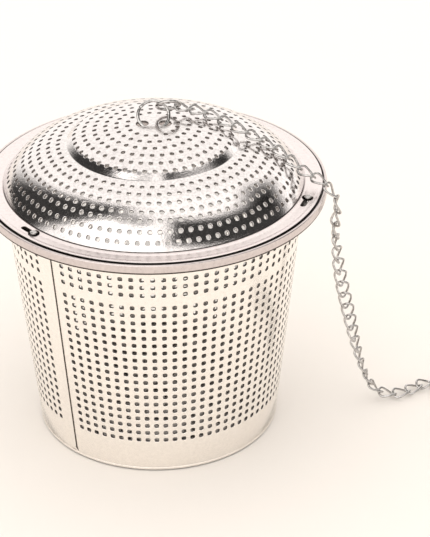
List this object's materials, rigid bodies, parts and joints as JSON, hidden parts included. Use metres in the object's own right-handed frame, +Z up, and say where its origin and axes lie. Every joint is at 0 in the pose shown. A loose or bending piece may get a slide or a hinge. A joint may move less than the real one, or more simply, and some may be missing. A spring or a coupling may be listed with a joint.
{
  "type": "tea strainer",
  "caption": "Perforated steel tea strainer basket with a domed twist-lock lid, a jump ring at its crown and a link chain that ends in a wire hook.",
  "frame": {"origin": "centre of the basket's flat underside, on the surface that the strainer stands on", "axes": "+Z up through the lid's crown, +X towards the side where the chain hangs, -Y towards the viewer"},
  "size_m": [0.1082, 0.07, 0.071],
  "materials": {
    "basket_steel": "satin perforated stainless sheet",
    "rim_steel": "satin rolled stainless edge",
    "lid_steel": "mirror-polished perforated stainless sheet",
    "stud_steel": "bright turned studs",
    "wire_steel": "bright drawn wire"
  },
  "bodies": {
    "basket": {"basket_wall": "basket_steel", "basket_base": "basket_steel", "basket_rim": "rim_steel", "lock_stud_1": "stud_steel", "lock_stud_2": "stud_steel", "lock_stud_3": "stud_steel"},
    "lid_carrier": {"lid_lip": "rim_steel"},
    "lid": {"lid_flange": "rim_steel", "lid_dome": "lid_steel"},
    "jump_ring": {"jump_ring": "wire_steel"},
    "chain_over_lid": {"connecting_ring": "wire_steel", "chain_link_01": "wire_steel", "chain_link_02": "wire_steel", "chain_link_03": "wire_steel", "chain_link_04": "wire_steel", "chain_link_05": "wire_steel", "chain_link_06": "wire_steel", "chain_link_07": "wire_steel", "chain_link_08": "wire_steel", "chain_link_09": "wire_steel", "chain_link_10": "wire_steel", "chain_link_11": "wire_steel"},
    "chain_hanging": {"chain_link_12": "wire_steel", "chain_link_13": "wire_steel", "chain_link_14": "wire_steel", "chain_link_15": "wire_steel", "chain_link_16": "wire_steel", "chain_link_17": "wire_steel", "chain_link_18": "wire_steel", "chain_link_19": "wire_steel", "chain_link_20": "wire_steel", "chain_link_21": "wire_steel", "chain_link_22": "wire_steel", "chain_link_23": "wire_steel", "chain_link_24": "wire_steel", "chain_link_25": "wire_steel", "chain_link_26": "wire_steel", "chain_link_27": "wire_steel"},
    "chain_on_table": {"chain_link_28": "wire_steel", "chain_link_29": "wire_steel", "chain_link_30": "wire_steel", "chain_link_31": "wire_steel", "chain_link_32": "wire_steel", "chain_link_33": "wire_steel", "chain_link_34": "wire_steel", "chain_link_35": "wire_steel", "chain_link_36": "wire_steel", "chain_link_37": "wire_steel", "end_ring": "wire_steel"},
    "hook": {"hook": "wire_steel"}
  },
  "joints": [
    {"name": "lid_lift", "type": "slide", "parent": "basket", "child": "lid_carrier", "axis": [0, 0, 1], "range_m": [0, 0.03]},
    {"name": "lid_turn", "type": "hinge", "parent": "lid_carrier", "child": "lid", "pos_m": [0, 0, 0.0536], "axis": [0, 0, 1], "range_deg": [0, 5.5]},
    {"name": "jump_ring_swing", "type": "hinge", "parent": "lid", "child": "jump_ring", "pos_m": [0.0002, 0, 0.06645], "axis": [1, 0, 0], "range_deg": [0, 10]},
    {"name": "chain_lift", "type": "hinge", "parent": "lid", "child": "chain_over_lid", "pos_m": [0.0024, 0.0028, 0.0693], "axis": [-0.22, -0.9755, 0], "range_deg": [0, 40]},
    {"name": "chain_swing", "type": "hinge", "parent": "chain_over_lid", "child": "chain_hanging", "pos_m": [0.03435, -0.00686, 0.05534], "axis": [-0.1958, -0.9806, 0], "range_deg": [0, 35]},
    {"name": "chain_end_lift", "type": "hinge", "parent": "chain_hanging", "child": "chain_on_table", "pos_m": [0.04381, -0.00067, 0.00692], "axis": [0, -1, 0], "range_deg": [0, 35]},
    {"name": "hook_lift", "type": "hinge", "parent": "chain_on_table", "child": "hook", "pos_m": [0.06595, -0.0072, 0.0018], "axis": [-1, 0, 0], "range_deg": [0, 40]}
  ]
}
